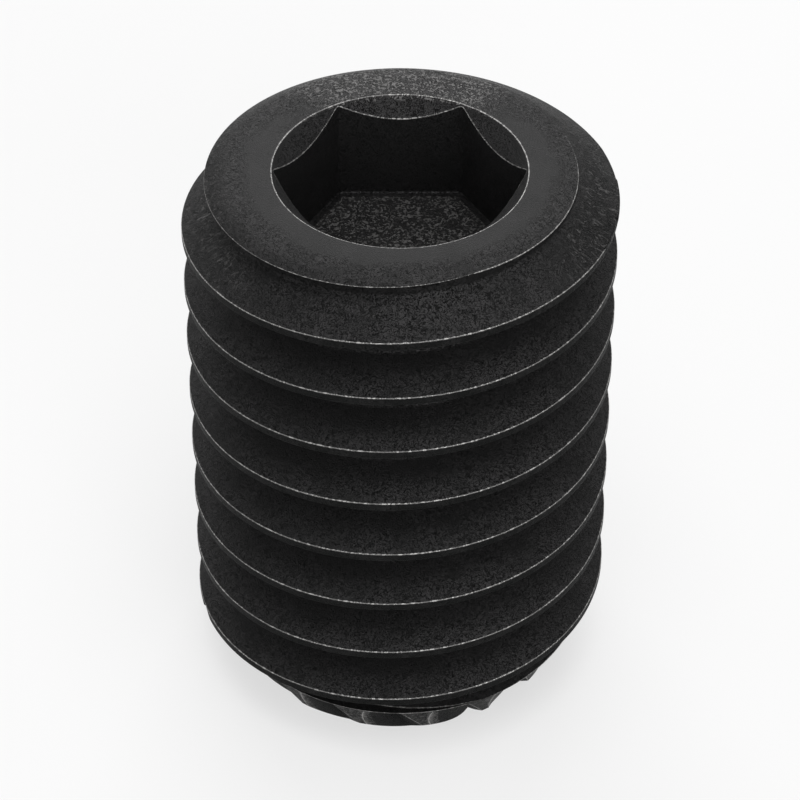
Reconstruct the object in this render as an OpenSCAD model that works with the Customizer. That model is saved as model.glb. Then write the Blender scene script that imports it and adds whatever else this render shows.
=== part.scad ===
// Hex socket grub set screw with a knurled cup point, standing on its point.
// Units are millimetres. The origin is the centre of the cup's rim, +Z runs up
// the axis to the socket, and -Y is the front.

/* [Thread] */
// Outside diameter of the thread
thread_d = 8; // [7:0.25:10]
// Rise of the thread in one turn, right hand
pitch = 1.25; // [1:0.05:1.5]
// Length of the screw, from the cup's rim to the socket end
screw_len = 11.16; // [9:0.02:16]
// Angle between the two flanks of the groove, in degrees
flank_angle = 60; // [56:1:64]
// Width of the crest flat as a share of the pitch
crest_share = 0.125; // [0.1:0.005:0.15]
// Depth of the groove as a share of the pitch
depth_share = 0.6134; // [0.54:0.01:0.64]
// Drop of the first crest's upper corner below the end face, at the front
first_crest_drop = 0.803; // [0.6:0.01:1]

/* [Socket end] */
// Width of the hexagon socket across its flats
socket_af = 4; // [3.4:0.05:4.3]
// Depth of the socket's flat floor below the end face
socket_depth = 2.03; // [1.6:0.05:4]
// Step from the hexagon's corners out to the rim of the countersink
countersink_step = 0.02; // [0.02:0.01:0.15]
// Slope of the countersink below the end face, in degrees
countersink_slope = 45; // [30:1:60]
// Step from the root of the groove in to the edge of the flat end face
face_step = 0.053; // [0.03:0.005:0.3]
// Slope of the end chamfer below the end face, in degrees
chamfer_slope = 35; // [25:1:45]

/* [Point] */
// Step from the outside of the thread in to the lip above the knurl
lip_step = 0.56; // [0.4:0.02:0.7]
// Angle of the cone above the lip, measured from the axis, in degrees
cone_angle = 45; // [38:1:60]
// Height of the lip above the rim of the cup
lip_height = 0.65; // [0.5:0.05:1]
// Step from the lip in to the outer edge of the cup's rim
rim_step = 0.28; // [0.2:0.02:0.5]
// Width of the cup's rim on a tooth
rim_width = 0.12; // [0.08:0.01:0.2]
// Included angle of the cone inside the cup, in degrees
cup_angle = 120; // [100:2:130]

/* [Knurl] */
// Number of teeth round the point
tooth_count = 16; // [12:1:20]
// Share of a tooth's arc that the land keeps just below the lip
land_top_share = 0.48; // [0.3:0.02:0.6]
// Share of a tooth's arc that the land keeps at the rim
land_rim_share = 0.2; // [0.1:0.02:0.3]
// Share of a tooth's arc that the steep wall of its notch takes
wall_share = 0.15; // [0.08:0.01:0.2]
// Depth of a notch just below the lip
notch_depth_top = 0.12; // [0.06:0.01:0.2]
// Depth of a notch at the rim of the cup
notch_depth_rim = 0.2; // [0.12:0.01:0.3]
// Turn of the first notch's shallow edge, from the front, in degrees
tooth_turn = -11.5; // [-22:0.5:22]

/* [Hidden] */
thread_r = thread_d / 2;
depth = depth_share * pitch;
root_r = thread_r - depth;
half_flank = flank_angle / 2;
open_half = pitch * (1 - crest_share) / 2;
root_half = open_half - depth * tan(half_flank);
over = 0.05;
cut_r = thread_r + over;
cut_half = open_half + over * tan(half_flank);
steps = 60;
turns = ceil(screw_len / pitch) + 3;
rings = turns * steps;
groove_z = screw_len - first_crest_drop + open_half;
face_r = root_r - face_step;
chamfer_h = (thread_r - face_r) * tan(chamfer_slope);
hex_r = socket_af / sqrt(3);
sink_r = hex_r + countersink_step;
sink_low_r = socket_af * 0.45;
sink_h = (sink_r - sink_low_r) * tan(countersink_slope);
lip_r = thread_r - lip_step;
cone_h = lip_step / tan(cone_angle);
rim_r = lip_r - rim_step;
cup_r = rim_r - rim_width;
cup_h = cup_r / tan(cup_angle / 2);
tooth_arc = 360 / tooth_count;
edge = 96;

// One corner of the groove cutter at step i: a radius and a height that rises
// by one pitch in each turn.
function groove_pt(i, r, dz) =
    let (t = i * 360 / steps - 90)
    [r * cos(t), r * sin(t), groove_z - (turns - 2) * pitch + i * pitch / steps + dz];

// The cutter's four corners at step i, from its lower root corner round.
function groove_ring(i) = [
    groove_pt(i, root_r, -root_half),
    groove_pt(i, cut_r, -cut_half),
    groove_pt(i, cut_r, cut_half),
    groove_pt(i, root_r, root_half)
];

// Two triangles between step i and the next, on side k of the cutter.
function groove_side(i, k) =
    let (a = 4 * i + k, b = 4 * i + (k + 1) % 4)
    [[a, b, b + 4], [a, b + 4, a + 4]];

// The helical groove: a tapered bar wound right-handed round the axis.
module groove() {
    pts = [for (i = [0:rings]) each groove_ring(i)];
    sides = [for (i = [0:rings - 1]) each [for (k = [0:3]) each groove_side(i, k)]];
    last = 4 * rings;
    ends = [[0, 3, 2], [0, 2, 1], [last, last + 1, last + 2], [last, last + 2, last + 3]];
    polyhedron(points = pts, faces = concat(sides, ends), convexity = 12);
}

// The turned shank above the lip: the point's cone, the body and the chamfer.
module shank() {
    rotate_extrude($fn = edge)
        polygon([
            [0, lip_height],
            [lip_r, lip_height],
            [thread_r, lip_height + cone_h],
            [thread_r, screw_len - chamfer_h],
            [face_r, screw_len],
            [0, screw_len]
        ]);
}

// The hexagon socket with its flat floor and the countersink at its mouth.
module socket() {
    translate([0, 0, screw_len - socket_depth])
        cylinder(h = socket_depth + 1, r = hex_r, $fn = 6);
    translate([0, 0, screw_len - sink_h])
        cylinder(h = sink_h * 2, r1 = sink_low_r, r2 = 2 * sink_r - sink_low_r, $fn = edge);
}

// The hollow of the cup: a cone that leaves a narrow rim.
module cup() {
    translate([0, 0, -cup_h])
        cylinder(h = cup_h * 2, r1 = cup_r * 2, r2 = 0, $fn = edge);
}

// A value that runs evenly from its size at the rim to its size at the lip.
function at_height(z, rim, lip) = rim + (lip - rim) * z / lip_height;

// A point in plan, from a radius and an angle.
function plan(r, t) = [r * cos(t), r * sin(t)];

// The notch's three corners in plan at height z: its bottom, and a point well
// outside the cone along its shallow side and along its steep wall.
function notch_ring(z) =
    let (
        r = at_height(z, rim_r, lip_r),
        gap = tooth_arc * (1 - at_height(z, land_rim_share, land_top_share)),
        low = plan(
            r - at_height(z, notch_depth_rim, notch_depth_top),
            gap - tooth_arc * wall_share
        ),
        ramp = low + 1.35 * (plan(r, 0) - low),
        wall = low + 2.5 * (plan(r, gap) - low)
    )
    [[low.x, low.y, z], [ramp.x, ramp.y, z], [wall.x, wall.y, z]];

// One notch between two teeth: shallow on one side, steep on the other, and
// leaning sideways from the lip to the rim.
module notch() {
    polyhedron(
        points = concat(notch_ring(-over), notch_ring(lip_height + over)),
        faces = [
            [0, 1, 2],
            [3, 5, 4],
            [0, 3, 4],
            [0, 4, 1],
            [1, 4, 5],
            [1, 5, 2],
            [2, 5, 3],
            [2, 3, 0]
        ]
    );
}

// The knurled end under the lip: a cone with ratchet teeth round it.
module knurl() {
    difference() {
        cylinder(h = lip_height, r1 = rim_r, r2 = lip_r, $fn = edge);
        for (i = [0:tooth_count - 1])
            rotate([0, 0, -90 + tooth_turn + i * tooth_arc])
                notch();
    }
}

// The threaded shank: the groove runs out through the chamfer and the cone.
module threaded_shank() {
    difference() {
        shank();
        groove();
    }
}

// The whole screw, one solid piece of black oxide steel.
module set_screw() {
    color([0.13, 0.13, 0.13])
        difference() {
            union() {
                threaded_shank();
                knurl();
            }
            socket();
            cup();
        }
}

set_screw();
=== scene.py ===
"""Looks of a black hexagon socket grub screw with a knurled cup point.

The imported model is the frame: the screw stands on its cup point at the origin,
+Z runs up its axis to the socket and -Y is the front. Sizes are millimetres
until a mesh is made.
"""

import logging
import math
from dataclasses import dataclass, field
from enum import Enum

import bpy
import numpy as np
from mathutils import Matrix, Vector


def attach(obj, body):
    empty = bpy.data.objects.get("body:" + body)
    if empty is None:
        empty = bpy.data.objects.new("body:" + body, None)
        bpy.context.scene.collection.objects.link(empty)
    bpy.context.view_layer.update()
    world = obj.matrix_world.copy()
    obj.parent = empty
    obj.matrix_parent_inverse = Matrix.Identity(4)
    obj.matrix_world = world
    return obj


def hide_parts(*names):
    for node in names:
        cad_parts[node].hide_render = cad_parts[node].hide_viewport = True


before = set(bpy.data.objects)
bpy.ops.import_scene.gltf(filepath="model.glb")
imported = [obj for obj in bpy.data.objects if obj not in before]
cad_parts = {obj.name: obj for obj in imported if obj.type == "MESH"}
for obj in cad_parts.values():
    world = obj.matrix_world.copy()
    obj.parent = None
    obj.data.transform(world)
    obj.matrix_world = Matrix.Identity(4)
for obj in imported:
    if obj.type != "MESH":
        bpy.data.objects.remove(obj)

MM = 0.001
FULL_TURN = 360.0
FRONT = -90.0

# Columns in one tooth's arc, and the wear of a finished corner's rows.
TOOTH_COLUMNS = 24
ROW_WEAR = (0.0, 0.4, 1.0, 0.4, 0.0)

# Shares of the way to the next corner that a rounding and its wear may take.
BEVEL_REACH = 0.3
FADE_REACH = 0.42

# Heights and distances in millimetres that count as nothing, and the decimals
# to which points are welded.
TOUCH = 1e-6
SAME_PLACE = 1e-5
NO_LENGTH = 1e-9
NO_AREA = 1e-12
WELD_DIGITS = 5

# A socket or a number, a colour, a range carried to another (where a value
# starts and ends, and what the outcome is at both), and a share of wear.
Value = bpy.types.NodeSocket | float
Colour = tuple[float, float, float]
Ramp = tuple[float, float, float, float]
Rub = np.ndarray | float
log = logging.getLogger("set_screw")


class Edge(Enum):
    """How a corner of the profile is finished: (bevel in mm, support in mm, wear)."""

    NONE = (0.0, 0.0, 0.0)
    FILLET = (0.07, 0.1, 0.0)
    CREST = (0.016, 0.05, 1.0)
    SOFT = (0.06, 0.12, 0.0)
    MOUTH = (0.018, 0.05, 0.85)
    LIP = (0.016, 0.05, 1.6)
    POINT = (0.012, 0.04, 0.7)

    @property
    def bevel(self) -> float:
        """Distance from the corner at which the rounding starts."""
        return self.value[0]

    @property
    def support(self) -> float:
        """Distance from the corner at which the wear has faded out."""
        return self.value[1]

    @property
    def wear(self) -> float:
        """How bare the corner is. 1 is bare steel, and more carries it further out."""
        return self.value[2]


@dataclass
class Chain:
    """The corners of the profile, from the socket's floor round to the cup's apex.

    Every corner is a whole row: a radius, a height and an angle for each column.
    """

    radius: list[np.ndarray] = field(default_factory=list)
    height: list[np.ndarray] = field(default_factory=list)
    angle: list[np.ndarray] = field(default_factory=list)
    edge: list[Edge] = field(default_factory=list)
    live: list[np.ndarray] = field(default_factory=list)
    worn: list[np.ndarray] = field(default_factory=list)
    rubbed: list[np.ndarray] = field(default_factory=list)

    def add(
        self,
        radius: np.ndarray | float,
        height: np.ndarray | float,
        angle: np.ndarray,
        edge: Edge,
        live: np.ndarray | bool = True,
        worn: np.ndarray | float = 0.0,
        rubbed: np.ndarray | float = 1.0,
    ) -> None:
        """Puts one corner row at the end of the chain.

        Args:
            radius: Distance from the axis, one value or one for each column.
            height: Height above the cup's rim, likewise.
            angle: Angle of each column in degrees.
            edge: How the corner is finished.
            live: Whether there is a corner in the column. If not, the row only
                waits there.
            worn: Wear of the row besides its corner's, and on the end face a painted glint, likewise.
            rubbed: Share of its corner's wear that the row has, likewise.
        """
        self.rubbed.append(np.broadcast_to(np.asarray(rubbed, float), angle.shape))
        self.live.append(np.broadcast_to(np.asarray(live, bool), angle.shape))
        self.worn.append(np.broadcast_to(np.asarray(worn, float), angle.shape))
        self.radius.append(np.broadcast_to(np.asarray(radius, float), angle.shape))
        self.height.append(np.broadcast_to(np.asarray(height, float), angle.shape))
        self.angle.append(angle)
        self.edge.append(edge)


@dataclass
class ColumnPlan:
    """The angles at which the surface's columns stand, in degrees.

    Over the socket they are evenly spaced, so that one falls on each corner of
    the hexagon. From the end face down they follow the teeth of the knurl: each
    tooth's arc holds the same pattern of columns, closer at its edges.
    """

    teeth: int = 16
    first_tooth: float = -101.5
    first_even: float = -101.25

    @property
    def arc(self) -> float:
        """The arc that one tooth takes."""
        return FULL_TURN / self.teeth

    @property
    def count(self) -> int:
        """Number of columns all round."""
        return self.teeth * TOOTH_COLUMNS

    def even(self) -> np.ndarray:
        """Evenly spaced angles: the start plus the column's share of a full turn."""
        return self.first_even + FULL_TURN * np.arange(self.count) / self.count

    def round_teeth(self, within: np.ndarray) -> np.ndarray:
        """The pattern within one tooth, repeated round the point.

        Args:
            within: Angles inside a tooth's arc, one for each of its columns.

        Returns:
            The start of each tooth plus those angles, for all columns.
        """
        starts = self.first_tooth + self.arc * np.arange(self.teeth)
        return (starts[:, None] + within[None, :]).ravel()


@dataclass
class HexSocket:
    """The hexagon socket: flat floor, six walls and a countersunk mouth."""

    across_flats: float = 4.0
    depth: float = 2.03
    mouth_step: float = 0.02
    corner_round: float = 0.012
    corner_blend: float = 0.01
    floor_rings: tuple[float, ...] = (0.0, 0.3, 0.6, 0.8, 0.93)
    floor_wear: float = 0.4
    # Painted glint on the back of the end face, as a share of bare steel.
    painted_back_glint: float = 0.37
    painted_back_glint_gain: float = 1.5
    painted_back_glint_start: float = 0.3

    @property
    def corner_r(self) -> float:
        """Distance from the axis to the hexagon's corners."""
        return self.across_flats / math.sqrt(3.0)

    @property
    def mouth_r(self) -> float:
        """Radius of the countersink where it meets the end face."""
        return self.corner_r + self.mouth_step

    def wall(self, angle: np.ndarray) -> np.ndarray:
        """Distance from the axis to the wall at each angle.

        Half the width over the cosine of the angle from the nearest flat's
        middle, but no more than the slightly rounded corner. The lesser of the
        two is blended: the logarithm of both distances' falling exponentials.

        Args:
            angle: Angles in degrees.

        Returns:
            The distances in millimetres.
        """
        arc = FULL_TURN / 6.0
        off = np.radians((angle % arc) - arc / 2.0)
        flat = self.across_flats / 2.0 / np.cos(off)
        limit = self.corner_r - self.corner_round
        both = np.exp(-flat / self.corner_blend) + np.exp(-limit / self.corner_blend)
        return -self.corner_blend * np.log(both)

    def back(self, angle: np.ndarray) -> np.ndarray:
        """Painted glint on the end face, given as wear: most at the back, by the angle's sine, and none
        in front.
        """
        rise = self.painted_back_glint_gain * np.sin(np.radians(angle)) - self.painted_back_glint_start
        return self.painted_back_glint * rise.clip(0.0, 1.0)

    def lay(self, chain: Chain, columns: ColumnPlan, top: float) -> None:
        """Adds the floor, the wall and the countersink to the chain.

        Args:
            chain: The profile so far.
            columns: The columns' angles.
            top: Height of the end face.
        """
        angle = columns.even()
        wall = self.wall(angle)
        floor = top - self.depth
        for share in self.floor_rings:
            chain.add(wall * share, floor, angle, Edge.NONE, worn=self.floor_wear)
        chain.add(wall, floor, angle, Edge.FILLET)
        chain.add(wall, top - (self.mouth_r - wall), angle, Edge.MOUTH)
        # The mouth's rim on the end face takes the painted back glint.
        chain.add(self.mouth_r, top, angle, Edge.MOUTH, worn=self.back(angle))


@dataclass
class ThreadedShank:
    """The threaded body between the end face and the lip of the point.

    Its outline is a plain turned blank: the end chamfer, the outside of the
    thread and the cone of the point. The groove is a helix, rising one pitch a
    turn, with a flat root and two flanks, and the surface at any height is the
    smaller of the blank's radius and the groove's.
    """

    length: float = 11.16
    outside_r: float = 4.0
    pitch: float = 1.25
    half_flank: float = 30.0
    crest_share: float = 0.125
    depth_share: float = 0.6134
    first_crest_drop: float = 0.803
    face_step: float = 0.053
    chamfer_slope: float = 35.0
    lip_r: float = 3.44
    lip_height: float = 0.65
    cone_angle: float = 45.0
    lip_land: float = 0.08
    end_round: float = 0.95
    fade_drop: float = 0.16
    fade: float = 2.9
    arc_steps: int = 5
    arc_clear: float = 0.12
    edge_clear: float = 0.05
    rub_step: float = 0.02
    shank_rub: float = 0.32
    chamfer_rub: float = 0.1
    halvings: int = 40
    least_groove: float = 1e-4

    def __post_init__(self) -> None:
        """Works out the sizes that follow from the named ones."""
        depth = self.depth_share * self.pitch
        self.root_r = self.outside_r - depth
        self.open_half = self.pitch * (1.0 - self.crest_share) / 2.0
        self.root_half = self.open_half - depth * math.tan(math.radians(self.half_flank))
        self.face_r = self.root_r - self.face_step
        self.flank_run = 1.0 / math.tan(math.radians(self.half_flank))
        self.chamfer_run = 1.0 / math.tan(math.radians(self.chamfer_slope))
        self.cone_run = math.tan(math.radians(self.cone_angle))
        self.chamfer_low = self.length - (self.outside_r - self.face_r) / self.chamfer_run
        self.cone_top = self.lip_height + (self.outside_r - self.lip_r) / self.cone_run
        self.land_top = self.lip_height + self.lip_land
        slope = math.radians(self.chamfer_slope)
        cut = self.end_round * math.tan(slope / 2.0)
        self.arc_r = self.face_r - cut
        self.arc_low = self.length - cut * math.sin(slope)
        self.arc_middle = self.length - self.end_round
        out = self.root_r - self.arc_r
        self.root_out = self.arc_middle + math.sqrt(self.end_round**2 - out**2)
        self.start = self.length - self.first_crest_drop + self.open_half

    def blank(self, height: np.ndarray) -> np.ndarray:
        """Radius of the turned blank: the least of the chamfer, the outside and the cone.

        Between the chamfer and the end face the radius follows an arc that
        touches both.

        Args:
            height: Heights above the cup's rim.

        Returns:
            The radius at each height.
        """
        chamfer = self.outside_r - (height - self.chamfer_low) * self.chamfer_run
        up = np.clip(height - self.arc_middle, 0.0, self.end_round)
        arc = self.arc_r + np.sqrt(self.end_round**2 - up**2)
        chamfer = np.where(height > self.arc_low, arc, chamfer)
        cone = self.lip_r + (height - self.lip_height) * self.cone_run
        return np.minimum(np.minimum(chamfer, cone), self.outside_r)

    def groove(self, height: np.ndarray, middle: np.ndarray) -> np.ndarray:
        """Radius of the groove: its root, plus the flank's run past the root's half width.

        Args:
            height: Heights above the cup's rim.
            middle: Height of the groove's middle in each column.

        Returns:
            The radius at each height.
        """
        past = np.maximum(np.abs(height - middle) - self.root_half, 0.0)
        return self.root_r + past * self.flank_run

    def middle(self, angle: np.ndarray, turn: int) -> np.ndarray:
        """Height of the groove's middle: its start at the front, and one pitch up a turn.

        Close under the end face it rises less and less, as the cutter leaves:
        past the fade height, one less the exponential of the way past it.

        Args:
            angle: Angle of each column in degrees.
            turn: How many turns further down it is.

        Returns:
            The height in each column.
        """
        middle = self.start + self.pitch * ((angle - FRONT) / FULL_TURN - turn)
        past = np.maximum(middle - (self.length - self.fade_drop), 0.0)
        return middle - past + (1.0 - np.exp(-self.fade * past)) / self.fade

    def crossing(self, inside: np.ndarray, outside: np.ndarray, middle: np.ndarray) -> np.ndarray:
        """Height at which a flank comes out of the blank, found by halving the span.

        Args:
            inside: Heights at which the groove is still inside the blank.
            outside: Heights at which it is outside.
            middle: Height of the groove's middle in each column.

        Returns:
            The height of the crossing in each column.
        """
        for _ in range(self.halvings):
            half = (inside + outside) / 2.0
            cut = self.groove(half, middle) < self.blank(half)
            inside, outside = np.where(cut, half, inside), np.where(cut, outside, half)
        return (inside + outside) / 2.0

    def corners(self, middle: np.ndarray) -> tuple[list[np.ndarray], np.ndarray]:
        """Heights of the groove's four corners, from the top down.

        The openings are where the flanks come out of the blank. A groove that
        has run out at either end has all four corners in one place on the
        blank.

        Args:
            middle: Height of the groove's middle in each column.

        Returns:
            The upper opening, the root's upper and lower corner and the lower
            opening, and whether the groove is there in each column.
        """
        high, low = middle + self.root_half, middle - self.root_half
        upper = self.crossing(high, middle + self.pitch, middle)
        upper = np.where(high > self.root_out, self.root_out, upper)
        lower = self.crossing(low, middle - self.pitch, middle)
        heights = [upper, np.minimum(high, upper), np.minimum(low, upper), lower]
        gone = low > self.root_out
        heights = [np.where(gone, low, h).clip(self.land_top, self.length) for h in heights]
        return heights, heights[0] - heights[3] > self.least_groove

    def outline(self) -> list[tuple[float, float, Edge]]:
        """The blank's own corners, from the top down.

        The rounding of the end face stands on its arc: the height of the arc's
        middle plus the arc's radius times the cosine of the way round it. Then
        come the edges of the chamfer and of the cone.

        Returns:
            For each corner its height, how much of the blank there must be on
            either side of it for it to show, and its finish.
        """
        tilt = np.radians(np.linspace(0.0, self.chamfer_slope, self.arc_steps + 1)[1:])
        corners = []
        for way in tilt:
            height = self.arc_middle + self.end_round * math.cos(way)
            corners.append((height, self.arc_clear * math.sin(way), Edge.NONE))
        corners.append((self.chamfer_low, self.edge_clear, Edge.SOFT))
        corners.append((self.cone_top, self.edge_clear, Edge.SOFT))
        return corners

    def rubs(self, heights: list[np.ndarray]) -> tuple[Rub, Rub, Rub, Rub]:
        """How far the groove's corners are rubbed bare.

        The upper opening is rubbed in full on the chamfer, less on the shank
        and not at all on the cone. The lower one is rubbed in full below the
        chamfer and little on it, and the root isn't rubbed.

        Args:
            heights: Heights of the groove's four corners in each column.

        Returns:
            Each corner's share of its wear, from the top down.
        """
        step = self.rub_step
        places = [self.cone_top, self.cone_top + step / 2.0, self.chamfer_low - step, self.chamfer_low]
        upper = np.interp(heights[0], places, [0.0, self.shank_rub, self.shank_rub, 1.0])
        lower = np.where(heights[3] > self.chamfer_low - step, self.chamfer_rub, 1.0)
        return upper, 0.0, 0.0, lower

    def lay(self, chain: Chain, angle: np.ndarray, painted_face_glint: np.ndarray) -> tuple[int, int, int]:
        """Adds the end face's edge, every turn of the groove and the lip.

        Args:
            chain: The profile so far.
            angle: Angle of each column in degrees.
            painted_face_glint: Painted glint on the back of the end face in each column, given as wear.

        Returns:
            The chain's index of the face edge, the number of the surface's rows
            that one turn takes and the chain's index of the lip.
        """
        edge_at = len(chain.edge)
        # The end face's edge row takes the painted back glint.
        chain.add(self.arc_r, self.length, angle, Edge.NONE, worn=painted_face_glint)
        last = math.ceil((self.start + self.pitch) / self.pitch)
        turns = [self.corners(self.middle(angle, turn)) for turn in range(-1, last + 1)]
        end = [np.full_like(angle, self.land_top)] * 4, np.zeros(angle.shape, bool)
        finish = (Edge.CREST, Edge.FILLET, Edge.FILLET, Edge.CREST)
        outline = self.outline()
        ledge = np.zeros(angle.shape, bool)
        for turn, ((heights, live), (below, _)) in enumerate(zip(turns, turns[1:] + [end]), start=-1):
            middle = self.middle(angle, turn)
            ledge |= live & (heights[3] < self.land_top + TOUCH)
            for height, edge, rubbed in zip(heights, finish, self.rubs(heights)):
                radius = np.minimum(self.blank(height), self.groove(height, middle))
                chain.add(radius, height, angle, edge, live, rubbed=rubbed)
            low, high = below[0], np.maximum(heights[3], below[0])
            for corner, clear, edge in outline:
                height = np.where(corner > high - clear, high, corner)
                height = np.where(corner < low + clear, low, height).clip(low, high)
                # The rounding's rows next to the end face take the painted back glint too.
                painted_arc_glint = painted_face_glint * (height > self.arc_low - TOUCH)
                chain.add(self.blank(height), height, angle, edge, height == corner, worn=painted_arc_glint)
        lip_at = len(chain.edge)
        chain.add(self.blank(np.array(self.land_top)), self.land_top, angle, Edge.CREST, ledge)
        chain.add(self.lip_r, self.lip_height, angle, Edge.LIP)
        edges = [*finish, *(edge for _, _, edge in outline)]
        rows = sum(1 if edge is Edge.NONE else len(ROW_WEAR) for edge in edges)
        return edge_at, rows, lip_at


def evenly(lip: float, rim: float, share: float) -> float:
    """A value that runs evenly from the one at the lip, share 0, to the one at the rim, share 1."""
    return lip + (rim - lip) * share


@dataclass
class KnurledPoint:
    """The cone under the lip with its ratchet teeth, and the hollow of the cup."""

    lip_r: float = 3.44
    lip_height: float = 0.65
    rim_r: float = 3.168
    cup_r: float = 3.04
    cup_angle: float = 120.0
    land_top: float = 0.48
    land_rim: float = 0.13
    wall_share: float = 0.18
    depth_top: float = 0.14
    hollow_top: float = 1.6
    straight: float = 0.1
    rim_cuts: dict[int, tuple[float, float]] = field(default_factory=lambda: {
        14: (0.1, 1.0), 15: (0.05, 0.8), 0: (0.025, 2.0), 1: (0.2, 3.0), 2: (0.25, 0.6),
    })
    rim_cut: tuple[float, float] = (0.1, 1.5)
    bow: float = 1.2
    edge_gap: float = 0.24
    mark_columns: tuple[int, ...] = (0, 1, 10, 11, 12, 14, 15, 16, TOOTH_COLUMNS - 1)
    land_column: int = 14
    land_wear: float = 0.4
    edge_wear: dict[int, float] = field(default_factory=lambda: {
        TOOTH_COLUMNS - 1: 0.6, 0: 1.5, 1: 0.6, 2: 0.45, 3: 0.4, 15: 1.1,
    })
    cup_rings: tuple[float, ...] = (0.75, 0.5, 0.25)
    steps: int = 12

    def within(self, share: float, arc: float) -> np.ndarray:
        """Angles of one tooth's columns at a height, from the notch's shallow edge on.

        The shallow edge bows and the steep wall leans with the height. The
        columns are closest at both and at the notch's bottom.

        Args:
            share: 0 at the lip and 1 at the rim.
            arc: The tooth's arc in degrees.

        Returns:
            The angle of each column inside the tooth.
        """
        lead, low, gap = self.marks(share, arc)
        near = self.edge_gap
        places = np.array([
            lead, lead + near, low - 2 * near, low, low + 1.5 * near,
            gap - near, gap, gap + near, arc + lead - near,
        ])
        return np.interp(np.arange(TOOTH_COLUMNS), self.mark_columns, places)

    def marks(self, share: float, arc: float) -> tuple[float, float, float]:
        """Angles of the notch's shallow edge, its bottom and the top of its steep wall.

        The land's share runs evenly from the lip to the rim, and the shallow
        edge bows out by a parabola that is nothing at both.

        Args:
            share: 0 at the lip and 1 at the rim.
            arc: The tooth's arc in degrees.

        Returns:
            The three angles inside the tooth.
        """
        gap = arc * (1.0 - evenly(self.land_top, self.land_rim, share))
        lead = -self.bow * 4.0 * share * (1.0 - share)
        return lead, gap - arc * self.wall_share, gap

    def depths(self, share: float, arc: float, teeth: int) -> np.ndarray:
        """Depths of all columns at a height.

        From the shallow edge the depth grows to the notch's bottom, a little
        of it evenly and the rest as a power of the way along, falls to nothing
        up the steep wall, and stays nothing on the land. Each notch has its
        own depth and power at the rim, and all have the same at the lip.

        Args:
            share: 0 at the lip and 1 at the rim.
            arc: The tooth's arc in degrees.
            teeth: Number of teeth.

        Returns:
            The depth in millimetres in each column.
        """
        lead, low, gap = self.marks(share, arc)
        angle = self.within(share, arc)
        ramp = ((angle - lead) / (low - lead)).clip(0.0, 1.0)
        wall = ((gap - angle) / (gap - low)).clip(0.0, 1.0)
        rows = []
        for tooth in range(teeth):
            cut, power = self.rim_cuts.get(tooth, self.rim_cut)
            curved = ramp ** evenly(self.hollow_top, power, share)
            rise = self.straight * ramp + (1.0 - self.straight) * curved
            hollow = np.where(angle <= low, rise, np.where(angle >= gap, 0.0, wall))
            rows.append(evenly(self.depth_top, cut, share) * hollow)
        return np.concatenate(rows)

    def wear(self) -> np.ndarray:
        """Wear of one tooth's columns: its land's, and more along both of its edges.

        Returns:
            The wear in each column, from the notch's shallow edge on.
        """
        worn = np.zeros(TOOTH_COLUMNS)
        worn[self.land_column:] = self.land_wear
        worn[list(self.edge_wear)] = list(self.edge_wear.values())
        return worn

    def lay(self, chain: Chain, columns: ColumnPlan) -> None:
        """Adds the knurl's rows from the lip to the rim, then the rim and the cup.

        The radius is the cone's, falling evenly from the lip to the rim, less
        the notch's depth. Where a notch is deeper than the rim is wide, the
        row ends on the cup's cone instead, a little above the rim.

        Args:
            chain: The profile so far.
            columns: The columns' angles.
        """
        arc = columns.arc
        run = math.tan(math.radians(self.cup_angle / 2.0))
        rim = self.rim_r - self.depths(1.0, arc, columns.teeth)
        worn = np.tile(self.wear(), columns.teeth)
        lean = (self.lip_r - self.rim_r) / self.lip_height
        rise = np.maximum(self.cup_r - rim, 0.0) / (run + lean)
        for step in range(self.steps + 1):
            share = step / self.steps
            height = self.lip_height + (rise - self.lip_height) * share
            cone = self.rim_r + lean * height
            angle = columns.round_teeth(self.within(share, arc))
            edge = Edge.POINT if step in (0, self.steps) else Edge.NONE
            if step == self.steps:
                radius = np.maximum(rim + lean * rise, self.cup_r - run * rise)
            else:
                radius = cone - self.depths(share, arc, columns.teeth)
            chain.add(radius, height, angle, edge, worn=worn)
        chain.add(self.cup_r - run * rise, rise, angle, Edge.POINT)
        for share in self.cup_rings:
            chain.add(self.cup_r * share, self.cup_r * (1.0 - share) / run, angle, Edge.NONE)
        chain.add(0.0, self.cup_r / run, angle, Edge.NONE)


@dataclass
class Surface:
    """The grid of the surface: one row per step along the profile."""

    place: np.ndarray
    along: np.ndarray
    wear: np.ndarray
    corner: np.ndarray


def leaders(apart: np.ndarray, rank: np.ndarray) -> tuple[np.ndarray, np.ndarray, np.ndarray]:
    """Sorts corners that fall in one place into groups.

    Args:
        apart: For each pair of neighbouring corners in a column, whether they
            are in different places.
        rank: Each corner's rank in each column. The highest in a group leads
            it, and the first of equals.

    Returns:
        For each corner and column, the first, the last and the leading corner
        of its group.
    """
    count, across = apart.shape[0] + 1, apart.shape[1]
    first = np.zeros((count, across), int)
    best = np.zeros((count, across), int)
    column = np.arange(across)
    for i in range(1, count):
        first[i] = np.where(apart[i - 1], i, first[i - 1])
        better = rank[i] > rank[best[i - 1], column]
        best[i] = np.where(apart[i - 1] | better, i, best[i - 1])
    last = np.full((count, across), count - 1)
    lead = best.copy()
    for i in range(count - 2, -1, -1):
        last[i] = np.where(apart[i], i, last[i + 1])
        lead[i] = np.where(apart[i], best[i], lead[i + 1])
    return first, last, lead


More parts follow.
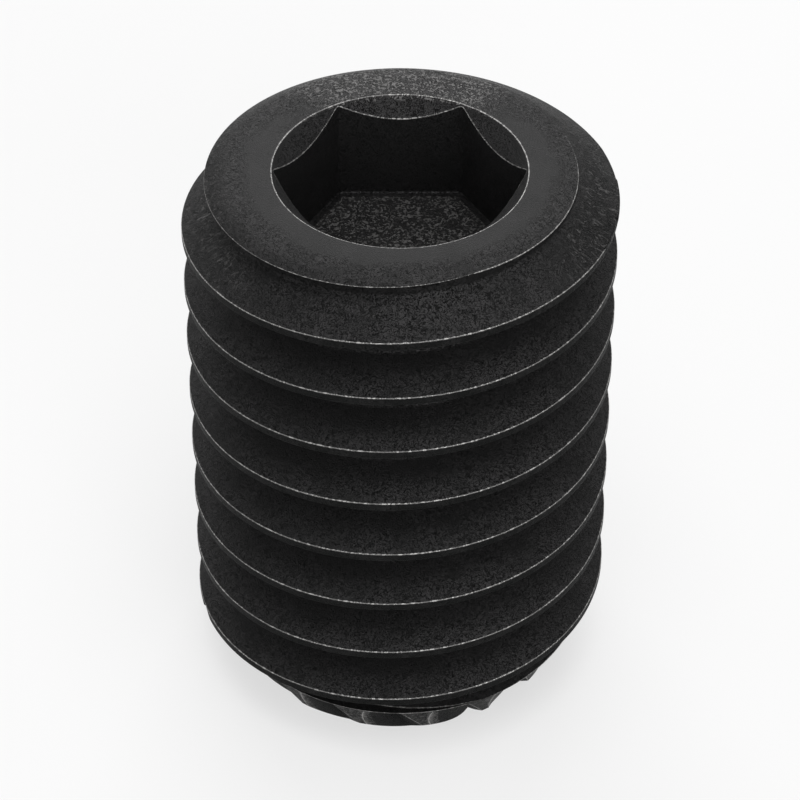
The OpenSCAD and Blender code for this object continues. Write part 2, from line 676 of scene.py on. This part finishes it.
def spread(chain: Chain) -> Surface:
    """Turns the chain's corners into the rows of the surface.

    A finished corner gives five rows: where its wear fades in, where its
    rounding starts, its middle, where the rounding ends and where the wear
    fades out. The middle is half the corner and a quarter of each of the rows
    beside it. Where several corners fall in one place, one of them leads and
    gives its rows, and the others wait at the row before or after it. A plain
    corner gives one row.

    Args:
        chain: The profile's corners.

    Returns:
        The rows' radius, height and angle, the direction of the profile at each
        row, its wear and the corner that it belongs to.
    """
    point = np.stack([np.array(chain.radius), np.array(chain.height), np.array(chain.angle)], axis=-1)
    count, across = point.shape[:2]
    apart = np.linalg.norm(np.diff(point[..., :2], axis=0), axis=-1) > SAME_PLACE
    live = np.array(chain.live)
    bevels = np.array([edge.bevel for edge in chain.edge])[:, None] * live
    supports = np.array([edge.support for edge in chain.edge])[:, None] * live
    wears = np.array([edge.wear for edge in chain.edge])[:, None] * live
    first, last, lead = leaders(apart, supports + wears)
    column = np.arange(across)[None, :]
    back = point[np.maximum(first - 1, 0), column] - point
    ahead = point[np.minimum(last + 1, count - 1), column] - point
    back_len = np.linalg.norm(back[..., :2], axis=-1, keepdims=True)
    ahead_len = np.linalg.norm(ahead[..., :2], axis=-1, keepdims=True)
    back = back / np.maximum(back_len, NO_LENGTH)
    ahead = ahead / np.maximum(ahead_len, NO_LENGTH)
    bevel = np.minimum(bevels[lead, column][..., None], BEVEL_REACH * np.minimum(back_len, ahead_len))
    fade = supports[lead, column][..., None]
    into = point + back * np.minimum(fade, FADE_REACH * back_len)
    out = point + ahead * np.minimum(fade, FADE_REACH * ahead_len)
    start, end = point + back * bevel, point + ahead * bevel
    middle = 0.25 * start + 0.5 * point + 0.25 * end
    arrive = np.where(back_len > NO_LENGTH, -back[..., :2], ahead[..., :2])
    leave = np.where(ahead_len > NO_LENGTH, ahead[..., :2], arrive)
    bisector = arrive + leave
    plain = fade == 0.0
    arrive, leave = np.where(plain, bisector, arrive), np.where(plain, bisector, leave)
    ways = (arrive, arrive, arrive + leave, leave, leave)
    rows = list(zip((into, start, middle, end, out), ways, ROW_WEAR))
    places, alongs, worn, corners = [], [], [], []
    for i, edge in enumerate(chain.edge):
        leads, later = (lead[i] == i)[:, None], (lead[i] < i)[:, None]
        wait = np.where(later, out[i], into[i])
        facing = np.where(later, leave[i], arrive[i])
        for place, along, wear in rows[2:3] if edge is Edge.NONE else rows:
            places.append(np.where(leads, place[i], wait))
            alongs.append(np.where(leads, along[i], facing))
            rubbed = np.where(leads[:, 0], wear * edge.wear * chain.rubbed[i], 0.0)
            worn.append(np.maximum(rubbed, chain.worn[i]))
            corners.append(i)
    return Surface(np.array(places), np.array(alongs), np.array(worn), np.array(corners))


@dataclass
class SetScrew:
    """The whole screw as one closed surface."""

    name: str = "set_screw_surface"
    half_way: float = 5.0
    columns: ColumnPlan = field(default_factory=ColumnPlan)
    socket: HexSocket = field(default_factory=HexSocket)
    shank: ThreadedShank = field(default_factory=ThreadedShank)
    knurled: KnurledPoint = field(default_factory=KnurledPoint)

    def build(self) -> bpy.types.Object:
        """Works out the surface and makes its mesh.

        Returns:
            The screw's object, at the origin, unturned and unscaled.
        """
        chain = Chain()
        self.socket.lay(chain, self.columns, self.shank.length)
        angle = self.columns.round_teeth(self.knurled.within(0.0, self.columns.arc))
        # The end face's rows take the painted back glint.
        edge_at, per_turn, lip_at = self.shank.lay(chain, angle, self.socket.back(angle))
        self.knurled.lay(chain, self.columns)
        surface = spread(chain)
        after, before = self.neighbours(surface, edge_at, per_turn, lip_at)
        place = self.to_space(surface.place)
        normal = self.normals(surface, place, after, before)
        return self.mesh(place, normal, surface.wear, after)

    def neighbours(
        self, surface: Surface, edge_at: int, per_turn: int, lip_at: int
    ) -> tuple[np.ndarray, np.ndarray]:
        """The grid's seam: which row of the first column follows a row of the last.

        One turn round the axis the groove has risen a pitch, so on the thread a
        row joins the same row of the turn above. Elsewhere it joins itself.

        Args:
            surface: The rows.
            edge_at: The chain's index of the face edge.
            per_turn: Rows in one turn of the groove.
            lip_at: The chain's index of the lip.

        Returns:
            For each row, the row that follows it past the seam, and the row
            that comes before it.
        """
        rows = np.arange(len(surface.wear))
        inside = (surface.corner > edge_at) & (surface.corner < lip_at)
        top, bottom = rows[inside].min(), rows[inside].max()
        after = np.where(inside, np.maximum(rows - per_turn, top), rows)
        before = np.where(inside, np.minimum(rows + per_turn, bottom), rows)
        return after, before

    def to_space(self, place: np.ndarray) -> np.ndarray:
        """Points in space: the radius times the angle's cosine and sine, and the height.

        Args:
            place: Radius, height and angle of each point.

        Returns:
            The points' coordinates in millimetres.
        """
        turn = np.radians(place[..., 2])
        radius = place[..., 0]
        return np.stack([radius * np.cos(turn), radius * np.sin(turn), place[..., 1]], axis=-1)

    def normals(
        self, surface: Surface, place: np.ndarray, after: np.ndarray, before: np.ndarray
    ) -> np.ndarray:
        """Directions that the surface faces.

        The cross product of the profile's direction and of the way from the
        column before to the column after, in the same row. On the axis, where
        that is nothing, straight up in the socket and straight down in the cup.

        Args:
            surface: The rows.
            place: The rows' points in millimetres.
            after: The row that follows each row past the seam.
            before: The row that comes before each row past the seam.

        Returns:
            A direction of length one for each point.
        """
        right = np.roll(place, -1, axis=1)
        right[:, -1] = place[after, 0]
        left = np.roll(place, 1, axis=1)
        left[:, 0] = place[before, -1]
        turn = np.radians(surface.place[..., 2])
        out, up = surface.along[..., 0], surface.along[..., 1]
        profile = np.stack([out * np.cos(turn), out * np.sin(turn), up], axis=-1)
        normal = np.cross(profile, right - left)
        length = np.linalg.norm(normal, axis=-1, keepdims=True)
        up_axis = np.array([0.0, 0.0, 1.0])
        ends = np.where(surface.place[..., 1:2] > self.half_way, up_axis, -up_axis)
        return np.where(length > NO_AREA, normal / np.maximum(length, NO_AREA), ends)

    def mesh(
        self, place: np.ndarray, normal: np.ndarray, wear: np.ndarray, after: np.ndarray
    ) -> bpy.types.Object:
        """Welds the grid's points that fall together and makes the object.

        A square of the grid with two corners in one place becomes a triangle,
        and one with opposite or more corners in one place is left out.

        Args:
            place: The grid's points in millimetres.
            normal: The directions that they face.
            wear: The wear at each point, and the end face's painted glint.
            after: The row that follows each row past the seam.

        Returns:
            The object, shaded smooth with its own normals.
        """
        rows, across = place.shape[:2]
        key = np.round(place.reshape(-1, 3), WELD_DIGITS)
        _, keep, ident = np.unique(key, axis=0, return_index=True, return_inverse=True)
        ident = ident.reshape(rows, across)
        right = np.roll(ident, -1, axis=1)
        right[:, -1] = ident[after, 0]
        quads = np.stack([ident[:-1], ident[1:], right[1:], right[:-1]], axis=-1).reshape(-1, 4)
        same = quads == np.roll(quads, -1, axis=1)
        crossed = (quads[:, 0] == quads[:, 2]) | (quads[:, 1] == quads[:, 3])
        whole = quads[(same.sum(axis=1) == 0) & ~crossed]
        thin = (same.sum(axis=1) == 1) & ~crossed
        slivers = quads[thin][~same[thin]].reshape(-1, 3)
        faces = whole.tolist() + slivers.tolist()
        data = bpy.data.meshes.new(self.name)
        points = place.reshape(-1, 3)[keep] * MM
        data.from_pydata(points.tolist(), [], faces)
        data.polygons.foreach_set("use_smooth", np.ones(len(faces), bool))
        # Edge wear, and on the end face a painted back glint.
        worn = data.attributes.new("edge_wear", "FLOAT", "POINT")
        worn.data.foreach_set("value", wear.reshape(-1)[keep].astype(np.float32))
        data.update()
        data.normals_split_custom_set_from_vertices(normal.reshape(-1, 3)[keep].tolist())
        screw = bpy.data.objects.new(self.name, data)
        bpy.context.scene.collection.objects.link(screw)
        log.info("%s: %d columns, %d faces", self.name, across, len(faces))
        return screw

    def dress(self, screw: bpy.types.Object, finish: "BlackOxide") -> None:
        """Gives the screw its finish and its place in the frame.

        Args:
            screw: The screw's object.
            finish: The coat that it gets.
        """
        screw.data.materials.append(finish.build())
        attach(screw, "root")
        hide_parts("set_screw")


@dataclass(frozen=True)
class Grain:
    """How a noise looks: its width in millimetres, its finer layers and its bend."""

    size: float
    detail: float
    rough: float
    bend: float


@dataclass(frozen=True)
class Wiring:
    """Adds nodes to a node tree and joins them."""

    tree: bpy.types.NodeTree

    def add(self, kind: str) -> bpy.types.Node:
        """A new node of the kind."""
        return self.tree.nodes.new(kind)

    def feed(self, value: Value, socket: bpy.types.NodeSocket) -> None:
        """Joins the socket to another one, or sets it to a number.

        Args:
            value: The other socket or the number.
            socket: The socket that it goes to.
        """
        if isinstance(value, float):
            socket.default_value = value
        else:
            self.tree.links.new(value, socket)

    def noise(self, look: Grain, place: bpy.types.NodeSocket | None = None) -> bpy.types.NodeSocket:
        """Noise bent by its own flow.

        Args:
            look: How it looks.
            place: Coordinates in metres, if not the object's own.

        Returns:
            The noise, from 0 to 1.
        """
        node = self.add("ShaderNodeTexNoise")
        node.inputs["Scale"].default_value = 1.0 / (look.size * MM)
        node.inputs["Detail"].default_value = look.detail
        node.inputs["Roughness"].default_value = look.rough
        node.inputs["Distortion"].default_value = look.bend
        self.feed(place or self.where(), node.inputs["Vector"])
        return node.outputs["Fac"]

    def where(self) -> bpy.types.NodeSocket:
        """The object's own coordinates, in metres."""
        return self.add("ShaderNodeTexCoord").outputs["Object"]

    def math(self, operation: str, first: Value, second: Value = 0.0) -> bpy.types.NodeSocket:
        """One arithmetic step.

        Args:
            operation: The node's name of the step.
            first: The first value or number.
            second: The second value or number.

        Returns:
            The outcome.
        """
        node = self.add("ShaderNodeMath")
        node.operation = operation
        self.feed(first, node.inputs[0])
        self.feed(second, node.inputs[1])
        return node.outputs[0]

    def product(self, first: Value, *others: Value) -> bpy.types.NodeSocket:
        """The values multiplied together, in their order.

        Args:
            first: The first value.
            others: The values that it is multiplied by.

        Returns:
            The product.
        """
        for other in others:
            first = self.math("MULTIPLY", first, other)
        return first

    def span(self, value: Value, ramp: Ramp) -> bpy.types.NodeSocket:
        """Carries a range of a value to another range, and stays inside it.

        Args:
            value: The value.
            ramp: Where its range starts and ends, and the outcome at both.

        Returns:
            The outcome.
        """
        node = self.add("ShaderNodeMapRange")
        for name, given in zip(("From Min", "From Max", "To Min", "To Max"), ramp):
            node.inputs[name].default_value = given
        self.feed(value, node.inputs["Value"])
        return node.outputs["Result"]

    def mix(self, share: Value, first: Value | Colour, second: Value | Colour) -> bpy.types.NodeSocket:
        """A colour between two.

        Args:
            share: How much there is of the second, from 0 to 1.
            first: A socket or a colour.
            second: Likewise.

        Returns:
            The colour.
        """
        node = self.add("ShaderNodeMix")
        node.data_type = "RGBA"
        self.feed(share, node.inputs["Factor"])
        for name, colour in (("A", first), ("B", second)):
            if isinstance(colour, tuple):
                node.inputs[name].default_value = (*colour, 1.0)
            else:
                self.feed(colour, node.inputs[name])
        return node.outputs["Result"]

    def seen(self) -> bpy.types.NodeSocket:
        """1 for what the camera and sharp reflections see, 0 for what only lights.

        Returns:
            The number, from the kind of ray.
        """
        path = self.add("ShaderNodeLightPath")
        sharp = self.math("MAXIMUM", path.outputs["Is Glossy Ray"], path.outputs["Is Transmission Ray"])
        return self.math("MAXIMUM", path.outputs["Is Camera Ray"], sharp)


class Spot:
    """Where a point of the screw is, as sockets of a material.

    Across, deep and up are its coordinates in metres. Height and reach, its
    height above the cup's rim and its distance from the axis, are in
    millimetres.
    """

    def __init__(self, net: Wiring) -> None:
        """Splits the object's coordinates and works out the other two.

        The reach is the root of the sum of both coordinates' squares.

        Args:
            net: The material's wiring.
        """
        axes = net.add("ShaderNodeSeparateXYZ")
        net.feed(net.where(), axes.inputs[0])
        self.across, self.deep, self.up = (axes.outputs[axis] for axis in "XYZ")
        squares = net.math("ADD", net.math("POWER", self.across, 2.0), net.math("POWER", self.deep, 2.0))
        self.height = net.math("DIVIDE", self.up, MM)
        self.reach = net.math("DIVIDE", net.math("SQRT", squares), MM)


@dataclass(frozen=True)
class SideStreaks:
    """Fine radial creases on the left and right of the end chamfer and the first flank.

    The ramps say where they are: by how far the point is to the side, by its
    height, by its reach and by the coat's patches. Then come the ramps from the
    noise to a furrow, which gets painted shade, and to the ridge between two of
    them, which gets a painted glint.
    """

    look: Grain = Grain(0.07, 1.5, 0.5, 1.3)
    radius: float = 4.0
    squash: float = 0.3
    # Painted glint: the share of bare steel on the streaks' ridges.
    glint: float = 0.11
    sides: Ramp = (0.7, 0.95, 0.0, 1.0)
    heights: Ramp = (9.9, 10.4, 0.0, 1.0)
    reaches: Ramp = (3.2, 3.5, 0.0, 1.0)
    patches: Ramp = (0.36, 0.5, 0.4, 1.0)
    furrow: Ramp = (0.0, 0.06, 1.0, 0.0)
    ridge: Ramp = (0.56, 0.68, 0.0, 1.0)

    def build(
        self, net: Wiring, spot: Spot, cloud: bpy.types.NodeSocket
    ) -> tuple[bpy.types.NodeSocket, bpy.types.NodeSocket]:
        """Makes the streaks from a noise that is drawn out down the slope.

        Its coordinates are the point's direction from the axis, at a fixed
        radius, and its height less its reach, squashed.

        Args:
            net: The material's wiring.
            spot: Where the point is.
            cloud: The coarse noise of the coat's patches.

        Returns:
            The furrows' depth, from 0 to 1, and the painted glint on the
            ridges, as a share of bare steel.
        """
        spoke = net.add("ShaderNodeCombineXYZ")
        for axis, along in (("X", spot.across), ("Y", spot.deep)):
            net.feed(net.product(net.math("DIVIDE", along, spot.reach), self.radius), spoke.inputs[axis])
        reach = net.product(spot.reach, MM)
        net.feed(net.product(net.math("SUBTRACT", spot.up, reach), self.squash), spoke.inputs["Z"])
        sideways = net.math("DIVIDE", net.math("ABSOLUTE", spot.across), reach)
        here = net.product(
            net.span(sideways, self.sides),
            net.span(spot.height, self.heights),
            net.span(spot.reach, self.reaches),
            net.span(cloud, self.patches),
        )
        streak = net.noise(self.look, spoke.outputs[0])
        off = net.math("ABSOLUTE", net.math("SUBTRACT", streak, 0.5))
        furrows = net.product(net.span(off, self.furrow), here)
        return furrows, net.product(net.span(streak, self.ridge), here, self.glint)


@dataclass(frozen=True)
class BlackOxide:
    """Black oxide on steel: a dark satin coat, creased in patches, with barer edges, painted shade and
    painted glints.

    The ramps carry a noise, a height, a reach or a wear in the units of the
    Spot to what the build's text says.
    """

    dark: Colour = (0.003, 0.0037, 0.0034)
    pale: Colour = (0.025, 0.0245, 0.0248)
    bare: Colour = (0.55, 0.54, 0.53)
    metallic: float = 0.6
    specular: float = 0.1
    refraction: float = 1.5
    rim_tint: float = 0.5
    relief: float = 0.035
    wrinkle: Grain = Grain(0.065, 1.5, 0.5, 1.2)
    grain: Grain = Grain(0.022, 2.0, 0.6, 0.3)
    cloud: Grain = Grain(0.8, 3.0, 0.55, 0.6)
    streaks: SideStreaks = SideStreaks()
    crease: Ramp = (0.0, 0.05, 1.0, 0.0)
    face: Ramp = (11.08, 11.1, 0.0, 1.0)
    smooth_ring: Ramp = (2.7, 3.0, 1.0, 0.0)
    smooth_front: Ramp = (0.8 * MM, 2.4 * MM, 1.0, 0.0)
    patches: Ramp = (0.36, 0.58, 0.35, 1.0)
    patch_lift: float = 0.3
    cloud_shade: Ramp = (0.3, 0.7, 0.6, 0.8)
    grain_shade: Ramp = (0.3, 0.7, -0.12, 0.12)
    # Painted shade: how much darker the creases and furrows are.
    crease_painted_shade: float = 0.85
    # Painted shade: the tops of the crests darkened.
    crest_painted_shade: Ramp = (3.975, 3.985, 0.0, 0.4)
    # Painted shade: the knurl below the lip darkened.
    knurl_painted_shade: Ramp = (0.61, 0.64, 0.45, 0.0)
    ragged: Ramp = (0.38, 0.62, 0.74, 1.26)
    baring: Ramp = (0.35, 1.15, 0.0, 0.8)
    roughness: Ramp = (0.3, 0.7, 0.37, 0.5)
    grain_relief: Ramp = (0.0, 1.0, 0.0, 0.35)

    def build(self) -> bpy.types.Material:
        """Makes the material.

        The relief is a network of creases, the distance of a bent noise from
        its own middle, over a fine grain, with streaks on the sides of the
        chamfer. A coarse noise keeps the creases to patches. Creases get
        painted shade, and the worn edges show bare steel, raggedly. The bare
        colour also paints glints on the streaks' ridges and on the back of the
        end face.

        Returns:
            The coat, on the object's own coordinates.
        """
        material = bpy.data.materials.new("black_oxide_coat")
        material.use_nodes = True
        net = Wiring(material.node_tree)
        shader = material.node_tree.nodes["Principled BSDF"]
        shader.inputs["Metallic"].default_value = self.metallic
        shader.inputs["Specular Tint"].default_value = (self.rim_tint,) * 3 + (1.0,)
        shader.inputs["IOR"].default_value = self.refraction
        shader.inputs["Specular IOR Level"].default_value = self.specular
        spot = Spot(net)
        bent, grain, cloud = (net.noise(look) for look in (self.wrinkle, self.grain, self.cloud))
        patch = self.patch(net, spot, cloud)
        off = net.math("ABSOLUTE", net.math("SUBTRACT", bent, 0.5))
        furrows, glints = self.streaks.build(net, spot, cloud)
        deep = net.math("MAXIMUM", net.product(net.span(off, self.crease), patch), furrows)
        coat = net.mix(self.shade(net, spot, cloud, grain, patch, deep), self.dark, self.pale)
        # The attribute holds edge wear and the end face's painted back glint.
        wear = net.add("ShaderNodeAttribute")
        wear.attribute_name = "edge_wear"
        worn = net.product(wear.outputs["Fac"], net.span(bent, self.ragged))
        # Bare steel where worn, and painted glints on the streaks' ridges.
        worn = net.math("MAXIMUM", net.span(worn, self.baring), glints)
        net.feed(net.mix(worn, coat, self.bare), shader.inputs["Base Color"])
        net.feed(net.span(grain, self.roughness), shader.inputs["Roughness"])
        relief = net.add("ShaderNodeBump")
        relief.inputs["Strength"].default_value = 1.0
        relief.inputs["Distance"].default_value = self.relief * MM
        net.feed(net.math("SUBTRACT", net.span(grain, self.grain_relief), deep), relief.inputs["Height"])
        net.feed(relief.outputs["Normal"], shader.inputs["Normal"])
        return material

    def patch(self, net: Wiring, spot: Spot, cloud: bpy.types.NodeSocket) -> bpy.types.NodeSocket:
        """How strong the creases are.

        The coarse noise gives it, less the smooth part of the end face, which
        is near the socket and fades out towards the back.

        Args:
            net: The material's wiring.
            spot: Where the point is.
            cloud: The coarse noise.

        Returns:
            The strength, from 0 to 1.
        """
        smooth = net.product(
            net.span(spot.height, self.face),
            net.span(spot.reach, self.smooth_ring),
            net.span(spot.deep, self.smooth_front),
        )
        return net.math("MAXIMUM", net.math("SUBTRACT", net.span(cloud, self.patches), smooth), 0.0)

    def shade(
        self,
        net: Wiring,
        spot: Spot,
        cloud: bpy.types.NodeSocket,
        grain: bpy.types.NodeSocket,
        patch: bpy.types.NodeSocket,
        deep: bpy.types.NodeSocket,
    ) -> bpy.types.NodeSocket:
        """How pale the coat is.

        Both noises and the patches are added up, and painted shade takes away
        from it: in the creases, on the tops of the crests and on the knurl below
        the lip.

        Args:
            net: The material's wiring.
            spot: Where the point is.
            cloud: The coarse noise.
            grain: The fine noise.
            patch: How strong the creases are here.
            deep: How deep the point is in a crease.

        Returns:
            The share of the pale colour, from 0 to 1.
        """
        shade = net.math("ADD", net.span(cloud, self.cloud_shade), net.product(patch, self.patch_lift))
        shade = net.math("ADD", shade, net.span(grain, self.grain_shade))
        # Painted shade in the creases, on the crest tops and on the knurl below the lip.
        for darker in (
            net.product(deep, self.crease_painted_shade),
            net.span(spot.reach, self.crest_painted_shade),
            net.span(spot.height, self.knurl_painted_shade),
        ):
            shade = net.math("SUBTRACT", shade, darker)
        return net.span(shade, (0.0, 1.0, 0.0, 1.0))


@dataclass(frozen=True)
class PaleFloor:
    """A plain white floor that keeps the screw's shadow."""

    side: float = 2.0
    colour: Colour = (0.25, 0.25, 0.25)
    lift: float = 0.62

    def build(self) -> None:
        """Makes the floor, one square under the screw.

        It also shines a little to the camera and in reflections, so that it
        looks white there without lighting the screw.
        """
        half = self.side / 2.0
        data = bpy.data.meshes.new("floor")
        corners = [(-half, -half, 0.0), (half, -half, 0.0), (half, half, 0.0), (-half, half, 0.0)]
        data.from_pydata(corners, [], [(0, 1, 2, 3)])
        material = bpy.data.materials.new("floor_white")
        material.use_nodes = True
        net = Wiring(material.node_tree)
        shader = material.node_tree.nodes["Principled BSDF"]
        shader.inputs["Base Color"].default_value = (*self.colour, 1.0)
        shader.inputs["Roughness"].default_value = 1.0
        shader.inputs["Specular IOR Level"].default_value = 0.0
        shader.inputs["Emission Color"].default_value = (1.0, 1.0, 1.0, 1.0)
        net.feed(net.math("MULTIPLY", net.seen(), self.lift), shader.inputs["Emission Strength"])
        data.materials.append(material)
        floor = bpy.data.objects.new("floor", data)
        bpy.context.scene.collection.objects.link(floor)


@dataclass(frozen=True)
class SoftLamp:
    """A square softbox aimed at the screw."""

    name: str
    place: tuple[float, float, float]
    side: float
    power: float

    def build(self, aim: tuple[float, float, float]) -> None:
        """Makes the lamp.

        Args:
            aim: The point that it faces, in metres.
        """
        data = bpy.data.lights.new(self.name, "AREA")
        data.shape = "SQUARE"
        data.size = self.side
        data.energy = self.power
        lamp = bpy.data.objects.new(self.name, data)
        lamp.location = self.place
        lamp.rotation_euler = (Vector(aim) - Vector(self.place)).to_track_quat("-Z", "Y").to_euler()
        bpy.context.scene.collection.objects.link(lamp)


@dataclass
class Studio:
    """The camera, the white surroundings, the lamps and the floor.

    The lens and the sensor's width are in millimetres, as are the distance
    and the height that the camera aims at.
    """

    lens: float = 152.54
    sensor: float = 36.0
    sight: tuple[float, float] = (0.001, 10.0)
    elevation: float = 40.374
    distance: float = 64.851
    aim_height: float = 5.673
    surround: float = 0.35
    floor: PaleFloor = field(default_factory=PaleFloor)
    lamps: tuple[SoftLamp, ...] = (
        SoftLamp("back", (-0.015, 0.17, 0.1), 0.17, 0.32),
        SoftLamp("top", (0.01, -0.045, 0.21), 0.14, 0.3),
        SoftLamp("front", (0.05, -0.18, 0.08), 0.12, 0.2),
    )

    def camera(self) -> None:
        """Makes the camera at the photograph's angle, in front and above.

        It stands at the distance from the aim on the axis, up by the
        elevation's sine and forward by its cosine.
        """
        tilt = math.radians(self.elevation)
        data = bpy.data.cameras.new("camera")
        data.lens = self.lens
        data.sensor_width = self.sensor
        data.clip_start, data.clip_end = self.sight
        camera = bpy.data.objects.new("camera", data)
        camera.location = (
            0.0,
            -self.distance * math.cos(tilt) * MM,
            (self.aim_height + self.distance * math.sin(tilt)) * MM,
        )
        camera.rotation_euler = (math.pi / 2.0 - tilt, 0.0, 0.0)
        bpy.context.scene.collection.objects.link(camera)
        bpy.context.scene.camera = camera

    def surroundings(self) -> None:
        """Makes white surroundings: full white to the camera and in reflections, softer as light."""
        world = bpy.data.worlds.new("white_room")
        world.use_nodes = True
        net = Wiring(world.node_tree)
        ground = world.node_tree.nodes["Background"]
        ground.inputs["Color"].default_value = (1.0, 1.0, 1.0, 1.0)
        net.feed(net.span(net.seen(), (0.0, 1.0, self.surround, 1.0)), ground.inputs["Strength"])
        bpy.context.scene.world = world

    def build(self) -> None:
        """Makes all of it and leaves the picture's colours as they are."""
        self.camera()
        self.surroundings()
        for lamp in self.lamps:
            lamp.build((0.0, 0.0, self.aim_height * MM))
        self.floor.build()
        bpy.context.scene.view_settings.view_transform = "Standard"


def main() -> None:
    """Builds the studio and the screw and reports each."""
    logging.basicConfig(level=logging.INFO, format="%(name)s: %(message)s")
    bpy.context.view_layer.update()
    Studio().build()
    log.info("studio: camera, surroundings, lamps and floor")
    screw = SetScrew()
    surface = screw.build()
    screw.dress(surface, BlackOxide())
    log.info("set screw: black oxide coat on %s", surface.name)


if __name__ == "__main__":
    main()
